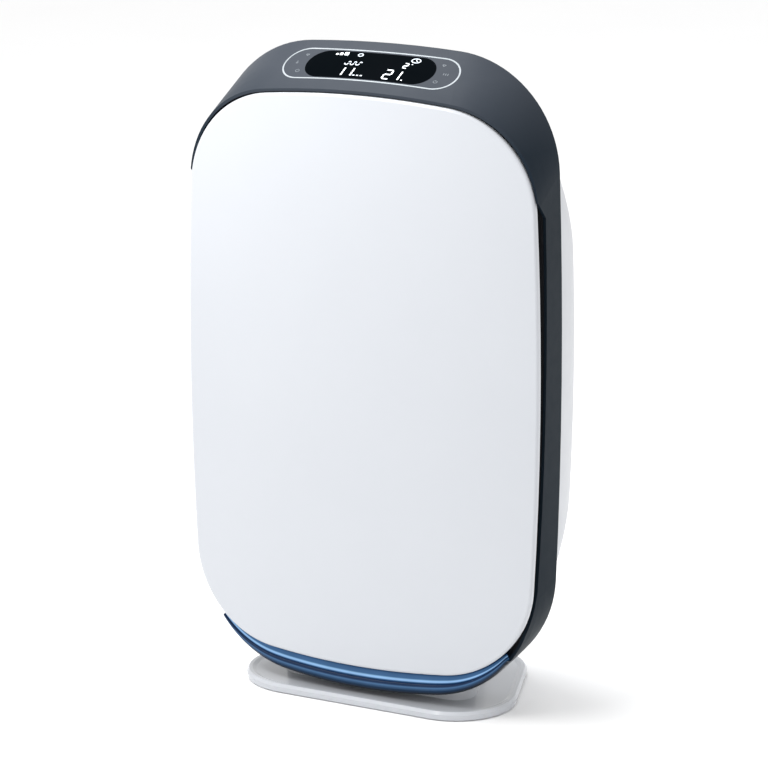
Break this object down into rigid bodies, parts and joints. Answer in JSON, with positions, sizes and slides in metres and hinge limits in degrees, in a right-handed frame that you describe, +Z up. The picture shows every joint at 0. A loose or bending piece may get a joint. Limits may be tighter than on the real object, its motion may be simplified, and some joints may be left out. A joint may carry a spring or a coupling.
{
  "type": "air purifier",
  "caption": "Floor-standing air purifier: white crowned front panel, slate oval ring with sloping display top, domed rear cover with outlet grille, flat foot.",
  "frame": {"origin": "on the floor under the middle of the body", "axes": "+Z up, front towards -Y, +X to the right seen from the front"},
  "size_m": [0.3814, 0.205, 0.6505],
  "materials": {
    "white_gloss": "glossy white ABS",
    "white_satin": "satin white ABS",
    "slate": "satin slate grey",
    "black_gloss": "polished black",
    "light_guide": "clear blue-lit diffuser",
    "silver_line": "printed silver",
    "window": "smoked acrylic",
    "black_matte": "textured black",
    "grey_plastic": "moulded grey",
    "mesh": "fine woven screen",
    "filter_rim": "pressed card rim",
    "filter_paper": "pleated glass-fibre paper",
    "carbon": "granules in fleece",
    "foam": "closed-cell foam",
    "tab_fabric": "woven ribbon",
    "lamp_glass": "quartz tube",
    "impeller": "moulded black",
    "copper_iron": "windings and laminations",
    "motor_steel": "pressed zinc-plated steel",
    "steel": "zinc plated",
    "brass": "nickelled brass",
    "board": "glass-epoxy laminate",
    "rubber": "soft black rubber"
  },
  "bodies": {
    "chassis": {"foot": "white_gloss", "rubber_feet": "rubber", "foot_screws": "steel", "main_housing": "slate", "lower_bezel": "black_gloss", "light_guide": "light_guide", "led_strip": "board", "control_outline": "silver_line", "display_window": "window", "control_board": "board", "display_module": "black_matte", "touch_pads": "steel", "strike_plates": "steel", "inner_frame": "black_matte", "frame_screws": "steel", "uv_lamps": "lamp_glass", "uv_lamp_holders": "grey_plastic", "inlet_grille": "steel", "fan_inlet_ring": "black_matte", "fan_scroll": "grey_plastic", "motor_stator": "copper_iron", "motor_can": "motor_steel", "motor_bearings": "steel", "motor_bracket": "motor_steel", "motor_grommets": "rubber", "motor_screws": "steel", "rear_cover": "white_satin", "cover_screws": "steel", "outlet_grille": "grey_plastic", "handle_cup": "grey_plastic", "hinge_pin": "steel", "particle_sensor": "black_matte", "power_inlet": "black_matte", "inlet_pins": "brass", "main_board": "board", "board_parts": "black_matte", "board_posts": "brass"},
    "front_panel": {"front_panel": "white_gloss", "panel_backing": "grey_plastic", "panel_magnets": "steel"},
    "prefilter": {"prefilter_frame": "grey_plastic", "prefilter_mesh": "mesh"},
    "main_filter": {"filter_frame": "filter_rim", "hepa_pleats": "filter_paper", "carbon_pad": "carbon", "filter_seal": "foam", "pull_tabs": "tab_fabric"},
    "fan_rotor": {"impeller": "impeller", "hub_nut": "steel", "motor_shaft": "steel", "motor_rotor": "copper_iron"},
    "sensor_door": {"sensor_door": "white_satin"}
  },
  "joints": [
    {"name": "panel_pull", "type": "slide", "parent": "chassis", "child": "front_panel", "axis": [0, -1, 0], "range_m": [0, 0.25]},
    {"name": "prefilter_pull", "type": "slide", "parent": "chassis", "child": "prefilter", "axis": [0, -1, 0], "range_m": [0, 0.15]},
    {"name": "filter_pull", "type": "slide", "parent": "chassis", "child": "main_filter", "axis": [0, -1, 0], "range_m": [0, 0.075]},
    {"name": "fan_spin", "type": "hinge", "parent": "chassis", "child": "fan_rotor", "pos_m": [0, 0.03, 0.2545], "axis": [0, 1, 0], "continuous": true},
    {"name": "sensor_door_hinge", "type": "hinge", "parent": "chassis", "child": "sensor_door", "pos_m": [-0.17846, 0.003, 0.3945], "axis": [0, 0, 1], "range_deg": [0, 85]}
  ],
  "couplings": [
    {"joint": "prefilter_pull", "follows": "panel_pull", "ratio": 0.6},
    {"joint": "filter_pull", "follows": "panel_pull", "ratio": 0.3}
  ]
}
